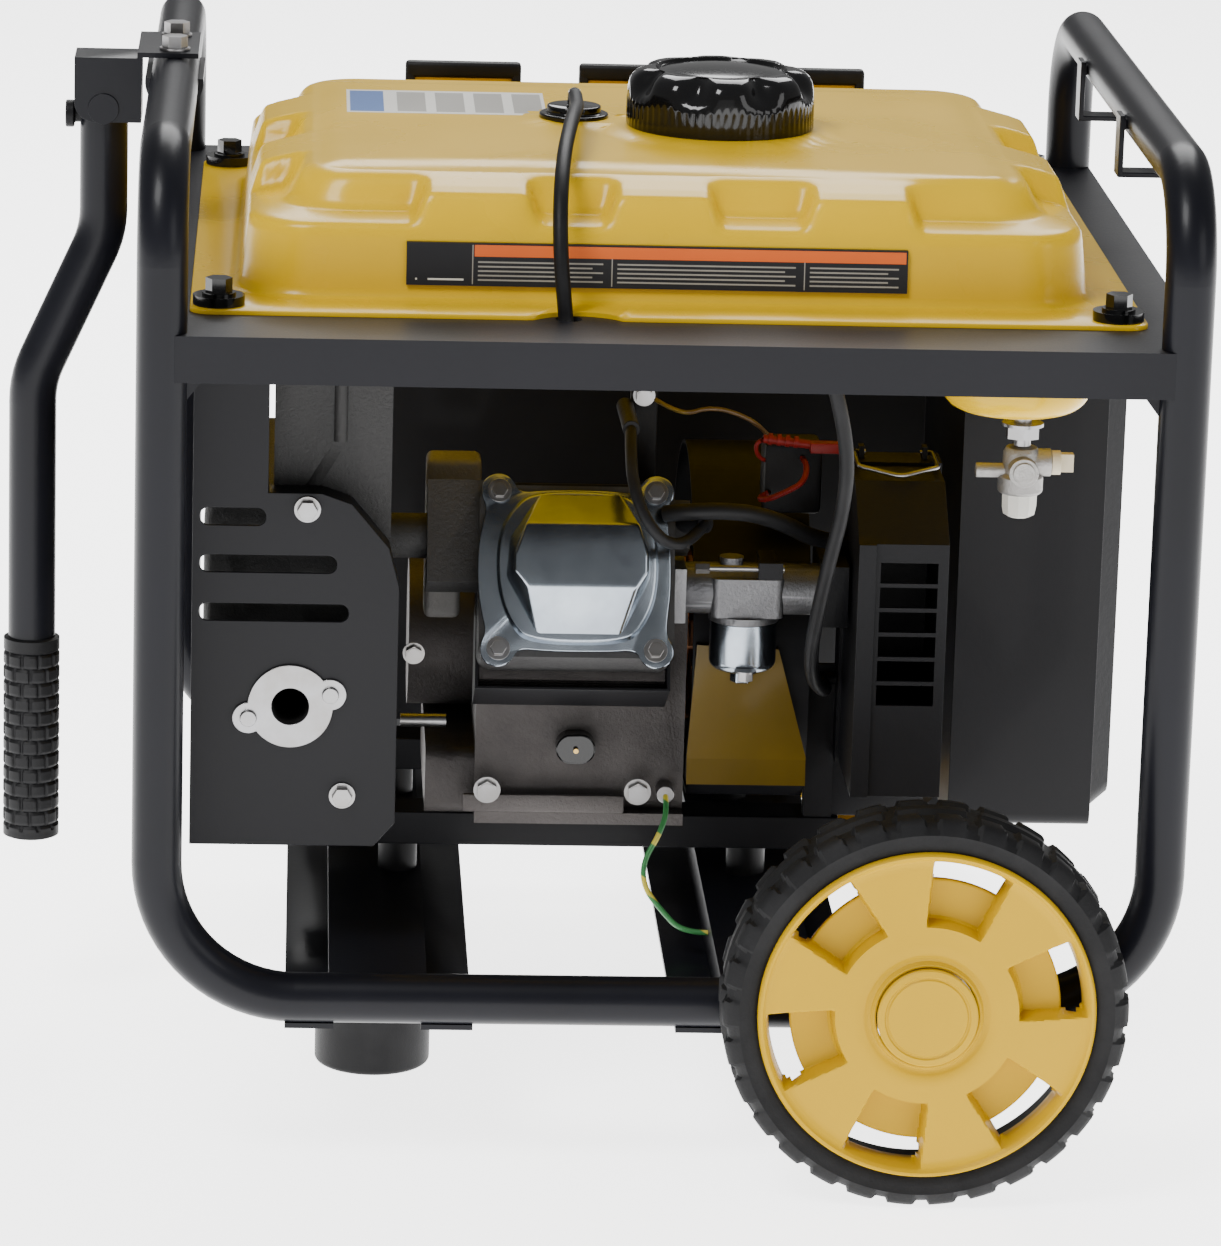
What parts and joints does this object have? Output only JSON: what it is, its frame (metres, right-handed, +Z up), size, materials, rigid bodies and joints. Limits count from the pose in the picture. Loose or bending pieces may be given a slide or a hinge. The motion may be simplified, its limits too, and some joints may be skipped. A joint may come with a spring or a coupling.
{
  "type": "portable generator",
  "caption": "Portable petrol generator in a tube frame with wheels, a folding tow handle, a pressed tank above a small slanted engine, and an end control cabinet.",
  "frame": {"origin": "under the middle of the overall box, on the floor", "axes": "+Z up, -Y faces the engine and air cleaner side, -X is the end with the folding tow handle"},
  "size_m": [0.6748, 0.708, 0.595],
  "materials": {
    "frame_black": "semi-gloss black paint",
    "tray_black": "semi-gloss black paint on sheet",
    "tank_yellow": "gloss yellow paint",
    "shroud_yellow": "gloss yellow paint",
    "rim_yellow": "yellow moulded plastic",
    "tyre_black": "moulded tread rubber",
    "soft_rubber": "matte black rubber",
    "wire_green": "green insulation with a yellow stripe",
    "moulded_black": "moulded black plastic",
    "gloss_black": "glossy black plastic",
    "sheet_black": "black painted sheet",
    "zinc": "bright zinc plate",
    "bright_steel": "plated pressed steel",
    "cast_alloy": "rough cast aluminium",
    "valve_grey": "dark die casting",
    "lever_beige": "beige plastic",
    "forged_steel": "machined steel",
    "winding_copper": "varnished copper windings",
    "burnt_steel": "heat-darkened steel",
    "breaker_red": "red plastic"
  },
  "bodies": {
    "generator": {"front_frame_tube": "frame_black", "rear_frame_tube": "frame_black", "left_hoop": "frame_black", "right_hoop": "frame_black", "crossmembers": "frame_black", "engine_rails": "frame_black", "stub_axles": "frame_black", "rail_hooks": "frame_black", "handle_bracket": "frame_black", "handle_saddle": "frame_black", "tank_tray": "tray_black", "tank_upper": "tank_yellow", "tank_lower": "tank_yellow", "fan_housing": "shroud_yellow", "engine_isolators": "soft_rubber", "support_feet": "soft_rubber", "vent_hose": "soft_rubber", "air_hose": "soft_rubber", "breather_hose": "soft_rubber", "plug_lead": "soft_rubber", "ground_wire": "wire_green", "air_cleaner_cover": "moulded_black", "air_cleaner_base": "moulded_black", "control_fascia": "moulded_black", "tank_vent_cap": "gloss_black", "engine_shroud": "sheet_black", "control_cabinet": "sheet_black", "muffler_shield": "sheet_black", "tank_bolts": "sheet_black", "flange_bolts": "zinc", "handle_clamp_bolts": "zinc", "spark_arrester": "zinc", "valve_cover": "bright_steel", "float_bowl": "bright_steel", "engine_block": "cast_alloy", "cylinder_head": "cast_alloy", "carburettor": "cast_alloy", "fuel_valve": "valve_grey", "stator": "winding_copper", "muffler": "burnt_steel"},
    "front_wheel": {"front_tyre": "tyre_black", "front_rim": "rim_yellow", "front_hub_cap": "rim_yellow"},
    "rear_wheel": {"rear_tyre": "tyre_black", "rear_rim": "rim_yellow", "rear_hub_cap": "rim_yellow"},
    "handle": {"handle_tube": "frame_black", "handle_grip": "soft_rubber"},
    "lock_button": {"handle_lock_button": "moulded_black"},
    "cap": {"fuel_cap": "gloss_black"},
    "valve_lever": {"fuel_valve_lever": "lever_beige"},
    "crank_train": {"crankshaft": "forged_steel", "flywheel": "forged_steel"},
    "choke": {"choke_lever": "zinc"},
    "bail": {"cover_clip": "zinc"},
    "switch": {"engine_switch": "moulded_black"},
    "breaker": {"breaker_button": "breaker_red"},
    "lid_left": {"socket_lid_left": "moulded_black"},
    "lid_right": {"socket_lid_right": "moulded_black"},
    "starter_grip": {"recoil_grip": "moulded_black"}
  },
  "joints": [
    {"name": "front_wheel_spin", "type": "hinge", "parent": "generator", "child": "front_wheel", "pos_m": [0.1884, -0.326, 0.1132], "axis": [0, 1, 0], "continuous": true},
    {"name": "rear_wheel_spin", "type": "hinge", "parent": "generator", "child": "rear_wheel", "pos_m": [0.1884, 0.326, 0.1132], "axis": [0, 1, 0], "continuous": true},
    {"name": "handle_fold", "type": "hinge", "parent": "generator", "child": "handle", "pos_m": [-0.2796, 0, 0.553], "axis": [0, 1, 0], "range_deg": [0, 90]},
    {"name": "lock_press", "type": "slide", "parent": "handle", "child": "lock_button", "axis": [1, 0, 0], "range_m": [0, 0.002], "stiffness_N_per_m": 800, "springref_m": -0.001},
    {"name": "cap_turn", "type": "hinge", "parent": "generator", "child": "cap", "pos_m": [0.0804, -0.014, 0.565], "axis": [0, 0, 1], "range_deg": [0, 90]},
    {"name": "valve_turn", "type": "hinge", "parent": "generator", "child": "valve_lever", "pos_m": [0.2614, -0.15, 0.382], "axis": [1, 0, 0], "range_deg": [0, 90]},
    {"name": "crank_spin", "type": "hinge", "parent": "generator", "child": "crank_train", "pos_m": [-0.0026, 0.0227, 0.2314], "axis": [1, 0, 0], "continuous": true},
    {"name": "choke_turn", "type": "hinge", "parent": "generator", "child": "choke", "pos_m": [0.1084, -0.119, 0.31], "axis": [0, 0, 1], "range_deg": [0, 40]},
    {"name": "bail_swing", "type": "hinge", "parent": "generator", "child": "bail", "pos_m": [0.1834, -0.08, 0.3705], "axis": [-1, 0, 0], "range_deg": [0, 100]},
    {"name": "switch_rock", "type": "hinge", "parent": "generator", "child": "switch", "pos_m": [0.3304, 0.205, 0.372], "axis": [0, 1, 0], "range_deg": [0, 12]},
    {"name": "breaker_push", "type": "slide", "parent": "generator", "child": "breaker", "axis": [-1, 0, 0], "range_m": [0, 0.003], "stiffness_N_per_m": 800, "springref_m": -0.001},
    {"name": "lid_left_swing", "type": "hinge", "parent": "generator", "child": "lid_left", "pos_m": [0.3346, 0.07, 0.397], "axis": [0, -1, 0], "range_deg": [0, 100], "stiffness_Nm_per_rad": 0.02, "springref_deg": -17.19},
    {"name": "lid_right_swing", "type": "hinge", "parent": "generator", "child": "lid_right", "pos_m": [0.3346, 0.14, 0.397], "axis": [0, -1, 0], "range_deg": [0, 100], "stiffness_Nm_per_rad": 0.02, "springref_deg": -17.19},
    {"name": "grip_pull", "type": "slide", "parent": "generator", "child": "starter_grip", "axis": [1, 0, 0], "range_m": [0, 0.6], "stiffness_N_per_m": 25, "springref_m": -0.1}
  ]
}
